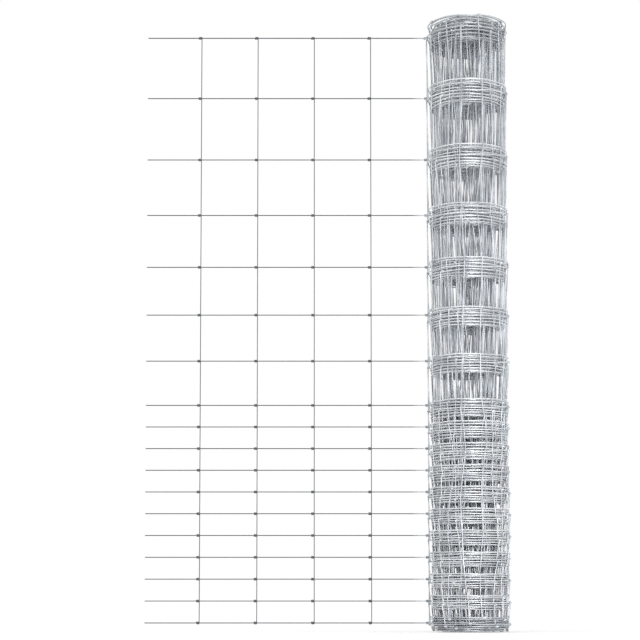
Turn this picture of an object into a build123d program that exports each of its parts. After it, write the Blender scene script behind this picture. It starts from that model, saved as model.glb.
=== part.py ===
from build123d import *
import os

# Roll of galvanised hinge-joint stock fencing, standing on its end, with a flat stretch pulled out to its left.
# Millimetres. The origin is on the roll's axis at floor level, +Z runs up the axis, the flat stretch runs along -X
# in a plane that touches the back (+Y side) of the roll, and the viewer stands at -Y.

# Fence sheet, as it lies flat
CLOSE_GAPS = [55.0] * 10
WIDE_GAPS = [113.0, 118.0, 123.0, 134.0, 144.0, 160.0, 158.0]
STAY_PITCH = 145.0
LINE_WIRE_D = 2.5
EDGE_WIRE_D = 2.8
STAY_D = 2.5
KNOT_LENGTH = 10.0

# Flat stretch
SHEET_LIFT = 21.0
STAY_COUNT = 5
FIRST_STAY_X = -97.0
FREE_END = 138.0

# Turned roll
BORE_R = 25.0
BODY_R = 92.0
BAND_R = 105.0
SHEET_PLANE_Y = 101.0
KNOT_REACH = EDGE_WIRE_D / 2 + STAY_D
TURN_DROP = SHEET_LIFT - KNOT_REACH
TURN_RISE = 16.0
TURN_SLUMP = 25.0
FLANK = 9.0
FOOT_INNER_R = 80.0
FOOT_OUTER_R = 85.0
INNER_TOP = 1516.0
END_RIDGES = 6
RIDGE_HEIGHT = 8.0


def line_heights():
    """Height of each line wire's centre above the floor, from the bottom edge wire up."""
    heights = [SHEET_LIFT]
    for gap in CLOSE_GAPS + WIDE_GAPS:
        heights.append(heights[-1] + gap)
    return heights


HEIGHTS = line_heights()
SHEET_HEIGHT = HEIGHTS[-1] - HEIGHTS[0]
ROLL_TOP = HEIGHTS[-1] + TURN_RISE + KNOT_REACH


def lowest_turn(height):
    """Height of the lowest turn's wire in a band. The turns slump more the further they stand above the floor."""
    return height - TURN_DROP - TURN_SLUMP * (height - HEIGHTS[0]) / SHEET_HEIGHT


def groove(lower, upper):
    """The groove between two line wires' bands, a plain V where the wires are close together."""
    foot = lower + TURN_RISE
    head = lowest_turn(upper)
    middle = (foot + head) / 2
    if head - foot < 4 * FLANK:
        return [(BAND_R, middle - FLANK), (BODY_R, middle), (BAND_R, middle + FLANK)]
    return [(BAND_R, foot), (BODY_R, foot + FLANK), (BODY_R, head - FLANK), (BAND_R, head)]


def side_outline():
    """The roll's outer outline from the bottom up: a raised band where each line wire's turns pile up."""
    points = []
    for lower, upper in zip(HEIGHTS, HEIGHTS[1:]):
        points += groove(lower, upper)
    return points


def end_ridges(crest_z, groove_z):
    """One end's ridges, from the bore out to the foot ring: each crest and groove stands for a few turns."""
    pitch = (FOOT_INNER_R - BORE_R) / END_RIDGES
    points = []
    for ridge in range(END_RIDGES):
        crest_r = BORE_R + ridge * pitch
        points += [(crest_r, crest_z), (crest_r + pitch / 2, groove_z)]
    points += [(FOOT_INNER_R, crest_z), (FOOT_OUTER_R, crest_z)]
    return points


def wound_roll():
    """The wound part as one turned solid: banded outside, open bore, and turns showing on both ends.

    Its lowest turns stand on the floor, below the flat stretch, and its highest ones stand above it.
    """
    bottom = end_ridges(0.0, RIDGE_HEIGHT) + [(BAND_R, FLANK)]
    top = end_ridges(INNER_TOP, INNER_TOP - RIDGE_HEIGHT)
    top += [(BODY_R, ROLL_TOP), (BAND_R, ROLL_TOP - FLANK)]
    outline = bottom + side_outline() + top[::-1]
    with BuildPart() as roll:
        with BuildSketch(Plane.XZ):
            with BuildLine():
                Polyline(*outline, close=True)
            make_face()
        revolve(axis=Axis.Z)
    return roll.part


def line_wire(height, diameter, left_end):
    """One straight line wire with few sides, from its cut end to the roll's axis plane."""
    section = Plane((left_end, SHEET_PLANE_Y, height), x_dir=(0, 1, 0), z_dir=(1, 0, 0))
    return extrude(section * Rectangle(diameter, diameter, rotation=45), -left_end)


def stay(x):
    """One upright stay, from the bottom edge wire to the top one."""
    section = Plane((x, SHEET_PLANE_Y, HEIGHTS[0]), z_dir=(0, 0, 1))
    return extrude(section * Rectangle(STAY_D, STAY_D), SHEET_HEIGHT)


def knot(x, height, diameter):
    """One hinge-joint knot: the collar that the stay's wraps make on the line wire, to the stay's left."""
    section = Plane((x - KNOT_LENGTH + STAY_D / 2, SHEET_PLANE_Y, height), x_dir=(0, 1, 0), z_dir=(1, 0, 0))
    side = diameter + 2 * STAY_D
    return extrude(section * Rectangle(side, side), KNOT_LENGTH)


def unrolled_stretch(roll):
    """The flat stretch: line wires, stays and knots fused where they cross, ending on the roll's bands."""
    stays_x = [FIRST_STAY_X - STAY_PITCH * number for number in range(STAY_COUNT)]
    left_end = stays_x[-1] - FREE_END
    wires, knots = [], []
    for height in HEIGHTS:
        diameter = EDGE_WIRE_D if height in (HEIGHTS[0], HEIGHTS[-1]) else LINE_WIRE_D
        wires.append(line_wire(height, diameter, left_end))
        knots += [knot(x, height, diameter) for x in stays_x]
    stays = [stay(x) for x in stays_x]
    return wires[0].fuse(*wires[1:], *stays, *knots) - roll


def main():
    os.makedirs("parts", exist_ok=True)
    roll = wound_roll()
    stretch = unrolled_stretch(roll)
    for name, shape in {"wound_roll": roll, "unrolled_stretch": stretch}.items():
        shape.label = name
        export_step(shape, f"parts/{name}.step")
        print(name, "volume", round(shape.volume), "faces", len(shape.faces()), "valid", shape.is_valid)


if __name__ == "__main__":
    main()
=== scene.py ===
# %% [markdown]
# A roll of galvanised stock fencing, standing on its end, with a few stays' length pulled out flat to its
# left. The fence is a hinge-joint mesh: long line wires run along it, and short upright stays are wrapped
# round them. A cylinder with a pattern of wires on it would be quicker to make, but nothing would show
# through between its wires. So the fence is made as the loom makes it, flat and straight, and is then wound.
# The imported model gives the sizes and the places.

# %% Load the fixed frame
import math
import bpy
import numpy as np
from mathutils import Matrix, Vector


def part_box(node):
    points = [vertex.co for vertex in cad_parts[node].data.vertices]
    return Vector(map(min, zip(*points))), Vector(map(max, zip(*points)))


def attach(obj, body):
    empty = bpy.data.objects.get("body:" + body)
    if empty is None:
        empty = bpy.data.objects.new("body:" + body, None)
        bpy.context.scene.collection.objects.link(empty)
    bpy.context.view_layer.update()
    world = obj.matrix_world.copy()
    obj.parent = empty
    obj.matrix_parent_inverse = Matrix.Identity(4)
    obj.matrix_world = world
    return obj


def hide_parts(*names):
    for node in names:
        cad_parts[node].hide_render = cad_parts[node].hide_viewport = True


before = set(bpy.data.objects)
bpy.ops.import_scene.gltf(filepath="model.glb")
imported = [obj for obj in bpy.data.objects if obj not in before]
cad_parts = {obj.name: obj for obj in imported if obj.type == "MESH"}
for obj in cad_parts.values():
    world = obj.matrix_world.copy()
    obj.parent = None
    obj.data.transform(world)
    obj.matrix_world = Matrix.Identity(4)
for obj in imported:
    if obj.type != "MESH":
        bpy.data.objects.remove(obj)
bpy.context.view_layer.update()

STRETCH_LOW, STRETCH_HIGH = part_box("unrolled_stretch")
ROLL_LOW, ROLL_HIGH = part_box("wound_roll")
print("flat stretch from", STRETCH_LOW, "to", STRETCH_HIGH)
print("roll from", ROLL_LOW, "to", ROLL_HIGH)

# %% [markdown]
# The fence is 1.5 m high. Ten close gaps at the foot keep lambs in, and the gaps above them widen to about
# 160 mm. A stay crosses the line wires every 145 mm, and the cut ends stick out past the last stay. The two
# edge wires are the thickest, because they take the pull. Every height could be typed in, but the gaps are
# what the loom is set to, and the heights follow from them. All the wires lie about one plane, which is the
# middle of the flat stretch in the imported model.

# %% Sizes of the fence, in metres
MM = 0.001
CLOSE_GAPS = [55 * MM] * 10
WIDE_GAPS = [113 * MM, 118 * MM, 123 * MM, 134 * MM, 144 * MM, 160 * MM, 158 * MM]
GAPS = CLOSE_GAPS + WIDE_GAPS
LINE_WIRE_D = 2.5 * MM
EDGE_WIRE_D = 2.8 * MM
STAY_D = 2.5 * MM
STAY_PITCH = 145 * MM
CUT_END = 138 * MM
KNOT_REACH = EDGE_WIRE_D / 2 + STAY_D

SHEET_Y = (STRETCH_LOW.y + STRETCH_HIGH.y) / 2
FLAT_LENGTH = -STRETCH_LOW.x
BOTTOM_WIRE_Z = STRETCH_LOW.z + KNOT_REACH
HEIGHTS = [BOTTOM_WIRE_Z + sum(GAPS[:number]) for number in range(len(GAPS) + 1)]
print(len(HEIGHTS), "line wires,", round(HEIGHTS[0], 4), "to", round(HEIGHTS[-1], 4), "m above the floor")

# %% [markdown]
# Seen from above, the whole fence follows one line: straight along the flat stretch, then round and round.
# The outermost turn is loose and stands off the rest. The turns inside it are tight, down to the bore that
# the winding mandrel leaves. They are less than a wire's thickness apart, because neighbouring turns stand at
# different levels and nest. The line could be drawn by hand with Bezier points, but the steps below need
# its length and its count of turns at every place. So its points are worked out here, with both of these at
# each of them.

# %% The line that the fence is wound on
BORE_R = 25 * MM
LOOSE_R = SHEET_Y
TIGHT_OUTER_R = 98.5 * MM
TIGHT_INNER_R = BORE_R + KNOT_REACH
TIGHT_PITCH = 1.199 * MM
CLOSES_AT = 0.6
TIGHT_FROM = 1.5
TURNS = TIGHT_FROM + (TIGHT_OUTER_R - TIGHT_INNER_R) / TIGHT_PITCH
POINTS_PER_TURN = 48


def ramp(share):
    """Goes from 0 to 1, and starts and ends gently. It takes one value or a whole list of them."""
    share = np.clip(share, 0.0, 1.0)
    return share * share * (3 - 2 * share)


def radius_at(turn):
    """Radius of the winding after so many turns."""
    closed = ramp((turn - CLOSES_AT) / (TIGHT_FROM - CLOSES_AT))
    return LOOSE_R - (LOOSE_R - TIGHT_OUTER_R) * closed - TIGHT_PITCH * max(turn - TIGHT_FROM, 0.0)


def point_at(turn):
    """Place of the winding after so many turns, seen from above. It starts at the back and runs clockwise."""
    radius = radius_at(turn)
    angle = math.tau * turn
    return Vector((radius * math.sin(angle), radius * math.cos(angle), 0.0))


turn_marks = [step / POINTS_PER_TURN for step in range(int(TURNS * POINTS_PER_TURN) + 1)]
path_points = [Vector((-FLAT_LENGTH, SHEET_Y, 0.0))] + [point_at(turn) for turn in turn_marks]
run_lengths = [(b - a).length for a, b in zip(path_points, path_points[1:])]
distance_marks = [sum(run_lengths[:number]) for number in range(1, len(path_points))]
FENCE_LENGTH = distance_marks[-1]
STAY_COUNT = int((FENCE_LENGTH - CUT_END) / STAY_PITCH) + 1
print(round(TURNS, 1), "turns,", round(FENCE_LENGTH, 2), "m of fence,", STAY_COUNT, "stays")

# %% [markdown]
# Each wire could be drawn as a spiral of its own, but then every stay would have to be turned to its place.
# Blender's Curve modifier saves that. It bends a long straight mesh along a curve: the mesh's X runs along
# the curve, and its Z stays upright. So the line is drawn once, as a curve, and every wire of the fence is
# later wound on it.

# %% Draw the line as a curve


def winding_line():
    """The curve that the Curve modifier bends each wire along."""
    curve = bpy.data.curves.new("winding_line", "CURVE")
    curve.dimensions = "3D"
    curve.twist_mode = "Z_UP"
    spline = curve.splines.new("POLY")
    spline.points.add(len(path_points) - 1)
    for point, place in zip(spline.points, path_points):
        point.co = (*place, 1.0)
    line = bpy.data.objects.new("winding_line", curve)
    bpy.context.scene.collection.objects.link(line)
    return line


WINDING_LINE = winding_line()
print("the line has", len(path_points), "points")

# %% [markdown]
# An operator acts on whatever is selected. A few helpers keep that in order: they select just the objects
# they are given, apply an object's modifiers or its place, copy it with a mesh of its own, join objects, and
# repeat one along X.

# %% Helpers for modelling


def select_only(*items):
    """Selects these objects and nothing else. The first is the active one."""
    bpy.ops.object.select_all(action="DESELECT")
    for item in items:
        item.select_set(True)
    bpy.context.view_layer.objects.active = items[0]


def apply_modifiers(item):
    """Applies an object's modifiers, from the first to the last."""
    select_only(item)
    for modifier_name in [modifier.name for modifier in item.modifiers]:
        bpy.ops.object.modifier_apply(modifier=modifier_name)


def apply_place(item):
    """Puts an object's place, turn and size into its mesh."""
    select_only(item)
    bpy.ops.object.transform_apply(location=True, rotation=True, scale=True)


def copy_at(item, x=0.0, z=0.0, turned=False):
    """A copy with its own mesh, moved by x and z, and turned half round about X if asked."""
    twin = item.copy()
    twin.data = item.data.copy()
    bpy.context.scene.collection.objects.link(twin)
    twin.rotation_euler = (math.pi if turned else 0.0, 0.0, 0.0)
    twin.location = (x, 0.0, z)
    apply_place(twin)
    return twin


def join(first, *others):
    """Joins objects into the first one."""
    select_only(first, *others)
    bpy.ops.object.join()
    return first


def repeat(item, count, pitch, merge_within=0.0):
    """Repeats a mesh along X with an Array modifier, and merges points that are closer than merge_within."""
    array = item.modifiers.new("repeat", "ARRAY")
    array.count = count
    array.use_relative_offset = False
    array.use_constant_offset = True
    array.constant_offset_displace = (pitch, 0.0, 0.0)
    array.use_merge_vertices = merge_within > 0.0
    array.merge_threshold = merge_within
    apply_modifiers(item)


# %% [markdown]
# A line wire is one long round wire. It can only bend where it has a ring of points, so it needs even steps.
# One long cylinder has rings only at its ends. A curve with a bevel would do, but the stays are meshes, and
# this way the same steps shape both. So one short tube is made from a cylinder, and the Array modifier
# repeats it end to end and merges the rings where two lengths meet. The tight turns near the bore take
# shorter steps than the wide ones. Six sides are enough for a wire this thin. Smooth shading hides the edges
# between them and leaves the two closed cut ends sharp.

# %% Model a straight line wire
WIRE_SIDES = 6
WIDE_STEP = 20 * MM
TIGHT_STEP = 10 * MM
TIGHT_TURNS_R = 55 * MM
RING_MERGE = 0.05 * MM
RUN_MERGE = 0.5 * MM
SMOOTH_MARGIN = math.radians(5)


def smooth_angle(sides):
    """The widest angle to shade smooth: a little more than the one between two sides of a wire."""
    return math.tau / sides + SMOOTH_MARGIN


def wire_run(diameter, start, step, count):
    """An open straight run of wire along X, in even steps."""
    bpy.ops.object.select_all(action="DESELECT")
    bpy.ops.mesh.primitive_cylinder_add(vertices=WIRE_SIDES, radius=diameter / 2, depth=step,
                                        end_fill_type="NOTHING", location=(start + step / 2, 0.0, 0.0),
                                        rotation=(0.0, math.pi / 2, 0.0))
    run = bpy.context.object
    apply_place(run)
    repeat(run, count, step, merge_within=RING_MERGE)
    return run


def close_wire(wire):
    """Merges the rings where two runs of a wire meet, and closes its two cut ends."""
    select_only(wire)
    bpy.ops.object.mode_set(mode="EDIT")
    bpy.ops.mesh.select_all(action="SELECT")
    bpy.ops.mesh.remove_doubles(threshold=RUN_MERGE)
    bpy.ops.mesh.select_all(action="SELECT")
    bpy.ops.mesh.fill_holes(sides=0)
    bpy.ops.mesh.normals_make_consistent(inside=False)
    bpy.ops.object.mode_set(mode="OBJECT")
    bpy.ops.object.shade_smooth_by_angle(angle=smooth_angle(WIRE_SIDES))


def straight_line_wire(diameter):
    """A line wire as it comes off its coil and through the loom, along X at height 0."""
    tight_from = next(mark for mark, turn in zip(distance_marks, turn_marks)
                      if radius_at(turn) < TIGHT_TURNS_R)
    wide_count = int(tight_from / WIDE_STEP)
    tight_start = wide_count * WIDE_STEP
    tight_count = int((FENCE_LENGTH - tight_start) / TIGHT_STEP)
    wire = join(wire_run(diameter, 0.0, WIDE_STEP, wide_count),
                wire_run(diameter, tight_start, TIGHT_STEP, tight_count))
    close_wire(wire)
    return wire


inner_pattern = straight_line_wire(LINE_WIRE_D)
edge_pattern = straight_line_wire(EDGE_WIRE_D)
print("a straight line wire has", len(inner_pattern.data.polygons), "faces")

# %% [markdown]
# The loom feeds eighteen such wires side by side. They could be made by one more Array modifier, but they
# aren't evenly spaced, and each wire is a piece of its own. So each height gets a copy, thicker at the two
# edges.

# %% Set the line wires at their heights
line_wires = []
for number, height in enumerate(HEIGHTS):
    pattern = edge_pattern if height in (HEIGHTS[0], HEIGHTS[-1]) else inner_pattern
    wire = copy_at(pattern, z=height)
    wire.name = f"line_wire_{number + 1:02d}"
    line_wires.append(wire)
print(len(line_wires), "line wires, the gaps between them in mm:", [round(gap / MM) for gap in GAPS])

# %% [markdown]
# The next pieces have open ends, which are rings of edges. By hand they are clicked in edit mode. In code
# they are found by what they are and where they lie: an operator selects every open edge, and those past a
# given place are let go again.

# %% Helper for open ends


def select_open_edges(left_of=math.inf):
    """In edit mode, selects the open edges of the mesh whose middle lies left of a place along X."""
    bpy.ops.mesh.select_mode(type="EDGE")
    bpy.ops.mesh.select_all(action="DESELECT")
    bpy.ops.mesh.select_non_manifold(extend=False, use_wire=False, use_multi_face=False,
                                     use_non_contiguous=False, use_verts=False)
    bpy.ops.object.mode_set(mode="OBJECT")
    mesh = bpy.context.object.data
    for edge in mesh.edges:
        middle = (mesh.vertices[edge.vertices[0]].co.x + mesh.vertices[edge.vertices[1]].co.x) / 2
        if middle >= left_of:
            edge.select = False
    bpy.ops.object.mode_set(mode="EDIT")


# %% [markdown]
# The hinge joint is the skilled part of the fence. Each stay is cut into short lengths, one for each gap,
# and the loom wraps both ends of every length round the line wires. Where two lengths meet, their wraps lie
# side by side like the two threads of a two-start screw, so the joint can hinge. On an edge wire the wrap is
# on its own, so it is wound tighter. A wrap could be a tube along a drawn helix, but the Screw modifier needs
# only one ring of the wire's section. It winds the ring round the line wire: down the front, under, up the
# back, and to the left. A short tail ends it. There are thousands of wraps, so they come in three grades of
# detail. Each grade has its steps in a turn and its sides of the wire.

# %% Model the wraps
JOINT_PITCH = 5.0 * MM
JOINT_TURNS = 1.5
EDGE_PITCH = 2.6 * MM
EDGE_TURNS = 2.75
TAIL = 1.2 * MM
GRADES = {"fine": (8, 6), "plain": (6, 5), "coarse": (5, 4)}


def add_tail(ring, turns, pitch):
    """Carries the end of a wrap straight on for a little and closes it."""
    select_only(ring)
    angle = math.tau * turns
    bpy.ops.object.mode_set(mode="EDIT")
    select_open_edges(left_of=-pitch * turns / 2)
    straight_on = (0.0, TAIL * math.sin(angle), -TAIL * math.cos(angle))
    bpy.ops.mesh.extrude_region_move(TRANSFORM_OT_translate={"value": straight_on})
    bpy.ops.mesh.edge_face_add()
    bpy.ops.object.mode_set(mode="OBJECT")


def wrap(line_d, turns, pitch, steps_per_turn, sides):
    """One wrapped end of a stay, round a line wire at height 0. Its open ring faces up, towards the stay."""
    reach = (line_d + STAY_D) / 2
    bpy.ops.object.select_all(action="DESELECT")
    bpy.ops.mesh.primitive_circle_add(vertices=sides, radius=STAY_D / 2, location=(0.0, -reach, 0.0))
    ring = bpy.context.object
    apply_place(ring)
    screw = ring.modifiers.new("wrap", "SCREW")
    screw.axis = "X"
    screw.angle = math.tau * turns
    screw.screw_offset = -pitch * turns
    screw.steps = round(turns * steps_per_turn)
    screw.render_steps = screw.steps
    screw.use_merge_vertices = False
    apply_modifiers(ring)
    add_tail(ring, turns, pitch)
    return ring


WRAPS = {}
for grade, (steps_per_turn, sides) in GRADES.items():
    WRAPS[grade, "joint"] = wrap(LINE_WIRE_D, JOINT_TURNS, JOINT_PITCH, steps_per_turn, sides)
    WRAPS[grade, "edge"] = wrap(EDGE_WIRE_D, EDGE_TURNS, EDGE_PITCH, steps_per_turn, sides)
    print(grade, "joint wrap:", len(WRAPS[grade, "joint"].data.polygons), "faces")

# %% [markdown]
# One length of stay is a wrap at its foot and the same wrap turned half round at its head. The straight wire
# between them could be a cylinder pushed into both, but bridging the two open rings gives one closed skin.

# %% Model one length of stay


def stay_length(grade, gap, foot, head):
    """One short length of stay, from one line wire up to the next."""
    lower = copy_at(WRAPS[grade, foot])
    upper = copy_at(WRAPS[grade, head], z=gap, turned=True)
    stay = join(lower, upper)
    bpy.ops.object.mode_set(mode="EDIT")
    select_open_edges()
    bpy.ops.mesh.bridge_edge_loops()
    bpy.ops.mesh.select_all(action="SELECT")
    bpy.ops.mesh.normals_make_consistent(inside=False)
    bpy.ops.object.mode_set(mode="OBJECT")
    sides = GRADES[grade][1]
    bpy.ops.object.shade_smooth_by_angle(angle=smooth_angle(sides))
    return stay


# %% [markdown]
# The loom makes a line of stays at every pitch. Each could be a piece of its own, but nearly three thousand
# lengths would be slow to handle, so each gap gets one row of them along the whole fence, joined. The flat
# stretch and the outermost turns come first along the fence and show best, so their stays are the finest.
# Those deeper in the roll are plainer.

# %% Repeat the stays along each gap
FINE_STAYS = 20
PLAIN_STAYS = 30
STAYS_BY_GRADE = {"fine": FINE_STAYS, "plain": PLAIN_STAYS, "coarse": STAY_COUNT - FINE_STAYS - PLAIN_STAYS}


def stay_row(number):
    """All the lengths of stay in one gap, along the whole fence."""
    foot = "edge" if number == 0 else "joint"
    head = "edge" if number == len(GAPS) - 1 else "joint"
    parts = []
    first = 0
    for grade, count in STAYS_BY_GRADE.items():
        pattern = stay_length(grade, GAPS[number], foot, head)
        part = copy_at(pattern, x=CUT_END + first * STAY_PITCH, z=HEIGHTS[number])
        bpy.data.objects.remove(pattern, do_unlink=True)
        repeat(part, count, STAY_PITCH)
        parts.append(part)
        first += count
    row = join(*parts)
    row.name = f"stay_row_{number + 1:02d}"
    return row


stay_rows = [stay_row(number) for number in range(len(GAPS))]
for leftover in [inner_pattern, edge_pattern, *WRAPS.values()]:
    bpy.data.objects.remove(leftover, do_unlink=True)
FENCE = line_wires + stay_rows
print(len(stay_rows), "rows of", STAY_COUNT, "stays,", len(stay_rows[1].data.polygons), "faces a row")

# %% [markdown]
# A wound fence is never as even as a flat one. The roll has been stood on its end, so its turns have slid to
# different levels, and the turns of each line wire pile up into a band. That could be simulated, but 25 m of
# springy wire is slow to solve, so a rule is used. A band of the photograph shows about seven clear lines.
# So each turn takes one of seven levels, three levels on from the turn before it, and steps of the golden
# ratio make them a little uneven. A turn goes over to its level in the quarter turn past the roll's back.

# %% Give each turn its level
LEVELS = 7
FIRST_LEVEL = 3
LEVEL_STEP = 3
GOLDEN_STEP = 0.618
UNEVEN_LEVEL = 0.35
CHANGE_TURN = 0.25


def shares_by_turn():
    """The level of each turn, as a share: 0 is the lowest level and 1 the highest."""
    shares = []
    for number in range(int(TURNS) + 2):
        level = (FIRST_LEVEL + number * LEVEL_STEP) % LEVELS
        level += UNEVEN_LEVEL * ((number * GOLDEN_STEP) % 1.0)
        shares.append(level / (LEVELS - 1 + UNEVEN_LEVEL))
    return np.array(shares)


SHARES = shares_by_turn()


def share_at(turn):
    """The share at each place of the winding. It changes from one turn's to the next past the roll's back."""
    number = turn.astype(int)
    changed = ramp((turn - number) / CHANGE_TURN)
    return SHARES[np.maximum(number - 1, 0)] * (1 - changed) + SHARES[number] * changed


print("levels of the first turns, as shares:", SHARES[:LEVELS].round(2))

# %% [markdown]
# The lowest level stands on the floor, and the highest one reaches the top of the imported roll. The turns
# slump more the further they stand above the floor, because the stays lean, and most at the back. At mid
# height they sag besides, as the photograph shows. The wires also wander a little. Random numbers would make
# them jump from point to point, so the wander is a sum of a few sine waves. Each wave has its length along
# the fence, its length up the fence, both in metres, and the angle that it starts at. A minus makes it slant
# the other way.

# %% Work out how high the turns stand
LOWEST_LEVEL = -(BOTTOM_WIRE_Z - KNOT_REACH)
HIGHEST_LEVEL = ROLL_HIGH.z - HEIGHTS[-1] - KNOT_REACH
SLUMP = 25 * MM
BACK_SLUMP = 16 * MM
MIDDLE_SAG = 15 * MM
WANDER = 1.8 * MM
WANDER_WAVES = [(0.37, 0.9, 0.4), (0.23, -0.7, 2.6), (0.11, 0.5, 4.4)]


def uneven(along, up, waves):
    """A smooth uneven value between -1 and 1 for places along and up the fence."""
    total = sum(np.sin(math.tau * (along / length + up / height) + start) for length, height, start in waves)
    return total / len(waves)


def rise_of(along, up, turn, wound):
    """How far above its place in the flat stretch each point of the wound fence stands."""
    share = share_at(turn)
    height_share = np.clip((up - HEIGHTS[0]) / (HEIGHTS[-1] - HEIGHTS[0]), 0.0, 1.0)
    lowest = LOWEST_LEVEL - SLUMP * height_share
    wander = WANDER * uneven(along, up, WANDER_WAVES)
    level = np.clip(lowest + share * (HIGHEST_LEVEL - lowest) + wander, lowest, HIGHEST_LEVEL)
    back = (1 + np.cos(math.tau * turn)) / 2
    sag = MIDDLE_SAG * np.sin(math.pi * height_share)
    return wound * (level - sag - BACK_SLUMP * height_share * back)


print("at the foot the levels go from", round(LOWEST_LEVEL, 4), "to", round(HIGHEST_LEVEL, 4), "m")

# %% [markdown]
# The stays lean to one side and the other, and the turns bulge in and out, both by sine waves again. The
# points are moved while the fence is still straight, because "along", "out" and "up" are then plain X, Y and
# Z. Proportional editing by hand would do for a few wires. For several hundred thousand points NumPy is
# quicker, because it moves all those of a piece at once. Over the first half turn the fence goes from the
# flat stretch's straight wires to the roll's uneven ones.

# %% Let the turns settle
WOUND_BY = 0.5
LEAN = 15 * MM
BULGE = 0.7 * MM
LEAN_WAVES = [(0.21, 0.34, 0.0), (0.33, -0.47, 2.1), (0.57, 0.23, 4.0), (0.13, 0.8, 5.1)]
BULGE_WAVES = [(0.17, 0.61, 1.0), (0.29, -0.38, 3.3), (0.41, 0.27, 5.2)]


def settle(piece):
    """Moves a straight piece's points to where its turns will lie."""
    points = np.empty(len(piece.data.vertices) * 3)
    piece.data.vertices.foreach_get("co", points)
    along, out, up = points.reshape(-1, 3).T
    turn = np.interp(along, distance_marks, turn_marks)
    wound = ramp(turn / WOUND_BY)
    lean = LEAN * wound * uneven(along, up, LEAN_WAVES)
    bulge = BULGE * wound * uneven(along, up, BULGE_WAVES)
    moved = np.column_stack((along + lean, out + bulge, up + rise_of(along, up, turn, wound)))
    piece.data.vertices.foreach_set("co", moved.ravel())


for piece in FENCE:
    settle(piece)
top_heights = [vertex.co.z for vertex in line_wires[-1].data.vertices]
print("the top edge wire lies", round(min(top_heights), 3), "to", round(max(top_heights), 3), "m high")

# %% [markdown]
# Now the fence is wound, as the loom winds it on its mandrel. Each piece gets a Curve modifier that follows
# the winding line. A live modifier would do for a picture, but it is applied, so that the finished mesh is
# what is rendered.

# %% Wind the fence


def wind(piece):
    """Bends a piece along the winding line."""
    bend = piece.modifiers.new("wind", "CURVE")
    bend.object = WINDING_LINE
    bend.deform_axis = "POS_X"
    apply_modifiers(piece)


for piece in FENCE:
    wind(piece)
bpy.data.objects.remove(WINDING_LINE, do_unlink=True)
triangles = sum(len(face.vertices) - 2 for piece in FENCE for face in piece.data.polygons)
print(triangles, "triangles in all")

# %% [markdown]
# Colours are written as sRGB hex values, as a colour picker shows them, but the renderer counts in linear
# light, so one function turns the one into the other by the standard's own numbers. A second one turns a
# real size into the scale of a pattern. A third adds any node with its settings, values and links, which
# keeps a material short enough to read.

# %% Helpers for materials


def linear(hex_colour):
    """A linear colour from an sRGB hex value."""
    parts = [int(hex_colour[place:place + 2], 16) / 255 for place in (1, 3, 5)]
    return [part / 12.92 if part <= 0.04045 else ((part + 0.055) / 1.055) ** 2.4 for part in parts] + [1.0]


def per_metre(millimetres):
    """A texture scale that repeats about once in so many millimetres."""
    return 1 / (millimetres * MM)


def add_node(tree, kind, values=(), links=(), **settings):
    """Adds a node with its settings, input values and links."""
    node = tree.nodes.new(kind)
    for name, value in settings.items():
        setattr(node, name, value)
    for name, value in dict(values).items():
        node.inputs[name].default_value = value
    for name, (source, output) in dict(links).items():
        tree.links.new(source.outputs[output], node.inputs[name])
    return node


# %% [markdown]
# Zinc from a hot dip isn't even: it is bright in some places and weathered in others, and the wiping leaves
# short streaks, about twice as long as the wire is thick. To the eye that is a soft mottling along each
# wire. A photograph of zinc would need every wire unwrapped, so the pattern is noise, read from each
# point's place in the object: a coarse one, with a fine one mixed in for the streaks. A third noise is bump,
# which breaks up the highlights. The real grain is about a tenth of a millimetre, too fine to show. It is
# drawn at 0.8 mm, a third of the wire's thickness, so that it shows from close by.

# %% Pattern and grain of the zinc
MOTTLE_MM = 45
MOTTLE_DETAIL = 2.0
STREAK_MM = 6
STREAK_DETAIL = 3.0
STREAK_SHARE = 0.4
GRAIN_MM = 0.8
GRAIN_DETAIL = 2.0
GRAIN_STRENGTH = 0.3
GRAIN_DEPTH = 0.05 * MM


def zinc_pattern(tree, place):
    """An uneven value along the wire, low where the zinc has weathered and high where it is bright."""
    mottle = add_node(tree, "ShaderNodeTexNoise", {"Scale": per_metre(MOTTLE_MM), "Detail": MOTTLE_DETAIL},
                      {"Vector": (place, "Object")})
    streak = add_node(tree, "ShaderNodeTexNoise", {"Scale": per_metre(STREAK_MM), "Detail": STREAK_DETAIL},
                      {"Vector": (place, "Object")})
    return add_node(tree, "ShaderNodeMix", {"Factor": STREAK_SHARE},
                    {"A": (mottle, "Fac"), "B": (streak, "Fac")}, data_type="FLOAT")


def zinc_grain(tree, place):
    """The fine grain of the zinc, as bump."""
    grain = add_node(tree, "ShaderNodeTexNoise", {"Scale": per_metre(GRAIN_MM), "Detail": GRAIN_DETAIL},
                     {"Vector": (place, "Object")})
    return add_node(tree, "ShaderNodeBump", {"Strength": GRAIN_STRENGTH, "Distance": GRAIN_DEPTH},
                    {"Height": (grain, "Fac")})


print("mottling", MOTTLE_MM, "mm, streaks", STREAK_MM, "mm, grain", GRAIN_MM, "mm")

# %% [markdown]
# The flat stretch is painted darker than the roll. This is painted shade, which makes it look less lit than
# the roll. It could have a material of its own, but each wire runs unbroken through both. So the colour
# changes along X, over the few centimetres where the stretch leaves the roll.

# %% Tone of the zinc, with painted shade on the flat stretch
WEATHERED_AT = 0.4
BRIGHT_AT = 0.6
# Painted shade: the flat stretch turns darker between these two places along X.
ROLL_TONE_TO_X = -0.10
PAINTED_SHADE_FROM_X = -0.14


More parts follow.
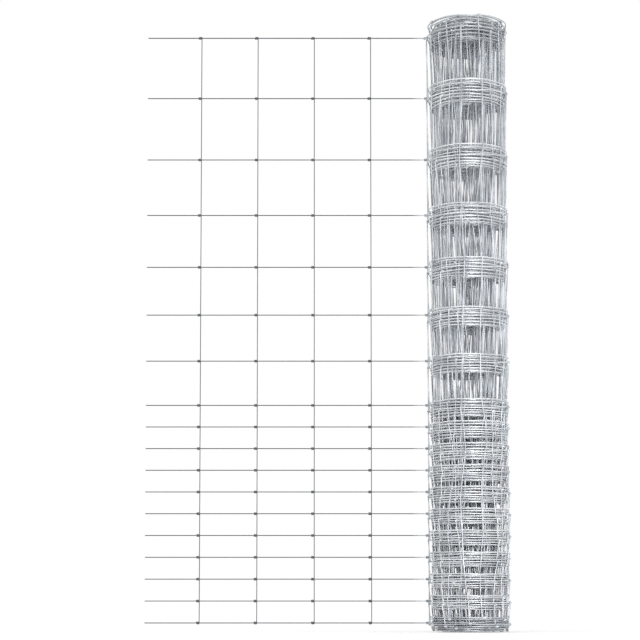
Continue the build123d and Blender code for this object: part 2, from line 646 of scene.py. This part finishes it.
def zinc_tone(tree, place, pattern, bright_zinc, weathered_zinc, flat_painted_shade):
    """The colour: from weathered to bright zinc on the roll, and a darker painted shade on the flat stretch.
    """
    colour = add_node(tree, "ShaderNodeValToRGB", links={"Fac": (pattern, "Result")})
    colour.color_ramp.elements[0].position = WEATHERED_AT
    colour.color_ramp.elements[0].color = linear(weathered_zinc)
    colour.color_ramp.elements[1].position = BRIGHT_AT
    colour.color_ramp.elements[1].color = linear(bright_zinc)
    across = add_node(tree, "ShaderNodeSeparateXYZ", links={"Vector": (place, "Object")})
    flat_shade_share = add_node(tree, "ShaderNodeMapRange",
                          {"From Min": ROLL_TONE_TO_X, "From Max": PAINTED_SHADE_FROM_X},
                          {"Value": (across, "X")})
    # Painted shade: the flat stretch gets a darker colour, so that it looks less lit than the roll.
    return add_node(tree, "ShaderNodeMixRGB", {"Color2": linear(flat_painted_shade)},
                    {"Fac": (flat_shade_share, "Result"), "Color1": (colour, "Color")})


print("the tone changes over", round((ROLL_TONE_TO_X - PAINTED_SHADE_FROM_X) / MM), "mm")

# %% [markdown]
# The wire is drawn steel, galvanised by a dip in molten zinc and wiped. To the eye it is a dull, slightly
# bluish metal with a soft sheen. A bare metal would be fully metallic, but the bloom on weathered zinc
# scatters light as a plain surface does, so a little over half is metal. The bright zinc is the smoother.
# Line wire, edge wire and stay wire each get a shade of their own, and the differences are painted light and
# shade: the line wires are painted lighter, so that the bands look lit from the front, the stays darker, and
# the edge wires darker still, as painted shade along the top rim. One function makes all three from their
# bright, weathered and flat-stretch colours.

# %% Hot-dip galvanised wire
METAL_SHARE = 0.55
ROUGHEST_AT = 0.35
SMOOTHEST_AT = 0.65
WEATHERED_ROUGHNESS = 0.55
BRIGHT_ROUGHNESS = 0.4


def galvanised_wire(name, bright_zinc, weathered_zinc, flat_painted_shade):
    """Hot-dip galvanised drawn steel wire: dull zinc with a soft sheen and faint mottling, and painted shade
    on the flat stretch.
    """
    material = bpy.data.materials.new(name)
    material.use_nodes = True
    tree = material.node_tree
    place = add_node(tree, "ShaderNodeTexCoord")
    pattern = zinc_pattern(tree, place)
    tone = zinc_tone(tree, place, pattern, bright_zinc, weathered_zinc, flat_painted_shade)
    roughness = add_node(tree, "ShaderNodeMapRange",
                         {"From Min": ROUGHEST_AT, "From Max": SMOOTHEST_AT,
                          "To Min": WEATHERED_ROUGHNESS, "To Max": BRIGHT_ROUGHNESS},
                         {"Value": (pattern, "Result")})
    bump = zinc_grain(tree, place)
    surface = tree.nodes["Principled BSDF"]
    surface.inputs["Metallic"].default_value = METAL_SHARE
    tree.links.new(tone.outputs["Color"], surface.inputs["Base Color"])
    tree.links.new(roughness.outputs["Result"], surface.inputs["Roughness"])
    tree.links.new(bump.outputs["Normal"], surface.inputs["Normal"])
    return material


# Painted light: the line wires are painted lighter than the stays, so that the bands look lit from the front.
LINE_ZINC_PAINTED_LIGHT = galvanised_wire("galvanised_line_wire_painted_light", bright_zinc="#E8EAEC",
                                 weathered_zinc="#CCCFD3", flat_painted_shade="#42464B")
# Painted shade: the edge wires are painted darker, as shade along the top rim.
EDGE_ZINC_PAINTED_SHADE = galvanised_wire("galvanised_edge_wire_painted_shade", bright_zinc="#C6CACE",
                                 weathered_zinc="#A5A9AE", flat_painted_shade="#54585D")
# Painted shade: the stays are painted darker than the line wires, so that the gaps look less lit than the
# bands.
STAY_ZINC_PAINTED_SHADE = galvanised_wire("galvanised_stay_wire_painted_shade", bright_zinc="#D3D7DC",
                                 weathered_zinc="#B0B5BA", flat_painted_shade="#62666B")

inner_wires = line_wires[1:-1]
edge_wires = [line_wires[0], line_wires[-1]]
finishes = [(inner_wires, LINE_ZINC_PAINTED_LIGHT), (edge_wires, EDGE_ZINC_PAINTED_SHADE), (stay_rows, STAY_ZINC_PAINTED_SHADE)]
for pieces, zinc in finishes:
    for piece in pieces:
        piece.data.materials.clear()
        piece.data.materials.append(zinc)
    print(zinc.name, "on", len(pieces), "pieces")

# %% [markdown]
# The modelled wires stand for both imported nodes, because each wire runs through the flat stretch and the
# roll. A set of pieces for each node would cut every wire in two. They all ride on the one body of this
# part, which has no joint.

# %% Tie the pieces to the frame
for piece in FENCE:
    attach(piece, "root")
    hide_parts("wound_roll", "unrolled_stretch")
print(len(FENCE), "pieces ride on the body")

# %% [markdown]
# The stage is a plain pale floor in a white room. More lamps would whiten the background too, but they would
# bleach the wires. So the floor and the room are given a glow that only the camera and reflections see, where
# a strength of 1 is white. The light that the floor takes from the room and its glow add up to just past
# white, and the floor still takes the shadow of the roll.

# %% Floor and white room
FLOOR_SIZE = 60.0
FLOOR_WHITE = "#E8E8E8"
FLOOR_SEEN = 1.02
SKY_LEVEL = 0.85
FLOOR_GLOW = FLOOR_SEEN - SKY_LEVEL * linear(FLOOR_WHITE)[0]


def seen_directly(tree):
    """A value of 1 for rays from the camera, in reflections and through glass, and 0 for the rest."""
    path = add_node(tree, "ShaderNodeLightPath")
    first = add_node(tree, "ShaderNodeMath", links={0: (path, "Is Camera Ray"), 1: (path, "Is Glossy Ray")},
                     operation="MAXIMUM")
    return add_node(tree, "ShaderNodeMath", links={0: (first, 0), 1: (path, "Is Transmission Ray")},
                    operation="MAXIMUM")


def floor():
    """A large pale floor."""
    bpy.ops.object.select_all(action="DESELECT")
    bpy.ops.mesh.primitive_plane_add(size=FLOOR_SIZE, location=(0.0, 0.0, 0.0))
    plane = bpy.context.object
    plane.name = "floor"
    material = bpy.data.materials.new("pale_floor")
    material.use_nodes = True
    tree = material.node_tree
    tree.nodes.remove(tree.nodes["Principled BSDF"])
    matt = add_node(tree, "ShaderNodeBsdfDiffuse", {"Color": linear(FLOOR_WHITE)})
    seen = seen_directly(tree)
    glow_level = add_node(tree, "ShaderNodeMath", {1: FLOOR_GLOW}, {0: (seen, 0)}, operation="MULTIPLY")
    glow = add_node(tree, "ShaderNodeEmission", links={"Strength": (glow_level, 0)})
    both = add_node(tree, "ShaderNodeAddShader", links={0: (matt, 0), 1: (glow, 0)})
    tree.links.new(both.outputs[0], tree.nodes["Material Output"].inputs["Surface"])
    plane.data.materials.append(material)
    return plane


def sky():
    """A white surrounding that lights the part a little less than it shows."""
    world = bpy.data.worlds.new("white_room")
    world.use_nodes = True
    bpy.context.scene.world = world
    tree = world.node_tree
    seen = seen_directly(tree)
    level = add_node(tree, "ShaderNodeMapRange", {"To Min": SKY_LEVEL, "To Max": 1.0}, {"Value": (seen, 0)})
    background = tree.nodes["Background"]
    background.inputs["Color"].default_value = linear("#FFFFFF")
    tree.links.new(level.outputs["Result"], background.inputs["Strength"])


FLOOR = floor()
sky()
print("the floor glows by", round(FLOOR_GLOW, 3))

# %% [markdown]
# Three large square lamps give soft light. A low one in front lights the close bands at the foot, a higher
# one further off lights the rest, and one at the left gives the shadow. A thin wire vanishes in front of
# anything much brighter than white. So the camera doesn't see the lamps, and light linking keeps the two
# front ones from making a bright patch on the floor, which the views from behind look at. Weaker lamps would
# cure that too, but they would leave the roll dull.

# %% Lamps
CLOSE_BANDS = (0.0, 0.0, 0.5)
ROLL_MIDDLE = (0.0, 0.0, 0.75)


def lamp(name, place, aim, size, watts):
    """A large square lamp, aimed at a point."""
    light = bpy.data.lights.new(name, "AREA")
    light.size = size
    light.energy = watts
    item = bpy.data.objects.new(name, light)
    bpy.context.scene.collection.objects.link(item)
    item.visible_camera = False
    item.location = place
    item.rotation_euler = (Vector(aim) - Vector(place)).to_track_quat("-Z", "Y").to_euler()
    return item


def keep_off(item, surface):
    """Keeps a lamp's light off one surface, by light linking."""
    unlit = bpy.data.collections.new(f"not_lit_by_{item.name}")
    unlit.objects.link(surface)
    unlit.collection_objects[0].light_linking.link_state = "EXCLUDE"
    item.light_linking.receiver_collection = unlit


front_lamp = lamp("front_lamp", place=(0.35, -1.6, 0.4), aim=CLOSE_BANDS, size=1.0, watts=18)
high_lamp = lamp("high_lamp", place=(0.6, -3.8, 2.4), aim=ROLL_MIDDLE, size=1.2, watts=50)
left_lamp = lamp("left_lamp", place=(-3.0, -2.5, 2.6), aim=ROLL_MIDDLE, size=1.6, watts=18)
keep_off(front_lamp, FLOOR)
keep_off(high_lamp, FLOOR)
for item in (front_lamp, high_lamp, left_lamp):
    print(item.name, round(item.data.size, 1), "m,", item.data.energy, "W")

# %% [markdown]
# The photograph was taken from the front, from low down, so the turns arch more the higher they are. The
# camera stands at that height and looks slightly up. It could be placed by eye, but two line wires of the
# flat stretch fix its tilt and its lens better: for a tilt, the distance between the two wires in the
# picture gives the lens, and the tilt is halved in on until both fit. The cut ends at the left then fix how
# far to the side the camera stands.

# %% Camera
IMAGE_PIXELS = 640
SENSOR_MM = 36.0
EYE_DISTANCE = 6.0
EYE_HEIGHT = 0.1
SHIFT_UP = 0.06
STEEPEST_TILT = 0.3
HALVINGS = 40
HIGH_WIRE_Z, PHOTO_HIGH_WIRE_Y = HEIGHTS[-3], 160.0
LOW_WIRE_Z, PHOTO_LOW_WIRE_Y = HEIGHTS[3], 557.3
PHOTO_LEFT_END_X = 146.5


def depth_of(height, tilt):
    """Distance along the view to the flat stretch at a height."""
    return (EYE_DISTANCE + SHEET_Y) * math.cos(tilt) + (height - EYE_HEIGHT) * math.sin(tilt)


def picture_row(height, tilt, focal):
    """Row of the picture where the flat stretch shows at a height. The focal length is in picture widths."""
    above = (height - EYE_HEIGHT) * math.cos(tilt) - (EYE_DISTANCE + SHEET_Y) * math.sin(tilt)
    return IMAGE_PIXELS * (0.5 + SHIFT_UP - focal * above / depth_of(height, tilt))


def fit_camera():
    """Tilt and focal length at which the two line wires show where they do in the photograph."""
    low_tilt, high_tilt = 0.0, STEEPEST_TILT
    for _ in range(HALVINGS):
        tilt = (low_tilt + high_tilt) / 2
        rows_apart = picture_row(LOW_WIRE_Z, tilt, 1.0) - picture_row(HIGH_WIRE_Z, tilt, 1.0)
        focal = (PHOTO_LOW_WIRE_Y - PHOTO_HIGH_WIRE_Y) / rows_apart
        if picture_row(HIGH_WIRE_Z, tilt, focal) > PHOTO_HIGH_WIRE_Y:
            high_tilt = tilt
        else:
            low_tilt = tilt
    return tilt, focal


tilt, focal = fit_camera()
middle_depth = depth_of((HEIGHTS[0] + HEIGHTS[-1]) / 2, tilt)
eye_x = -FLAT_LENGTH + (0.5 - PHOTO_LEFT_END_X / IMAGE_PIXELS) * middle_depth / focal
camera_data = bpy.data.cameras.new("camera")
camera_data.sensor_width = SENSOR_MM
camera_data.lens = SENSOR_MM * focal
camera_data.shift_y = SHIFT_UP
camera = bpy.data.objects.new("camera", camera_data)
bpy.context.scene.collection.objects.link(camera)
camera.location = (eye_x, -EYE_DISTANCE, EYE_HEIGHT)
camera.rotation_euler = (math.pi / 2 + tilt, 0.0, 0.0)
bpy.context.scene.camera = camera
bpy.context.scene.view_settings.view_transform = "Standard"
print("lens", round(camera_data.lens, 1), "mm, tilted up by", round(math.degrees(tilt), 2), "degrees")
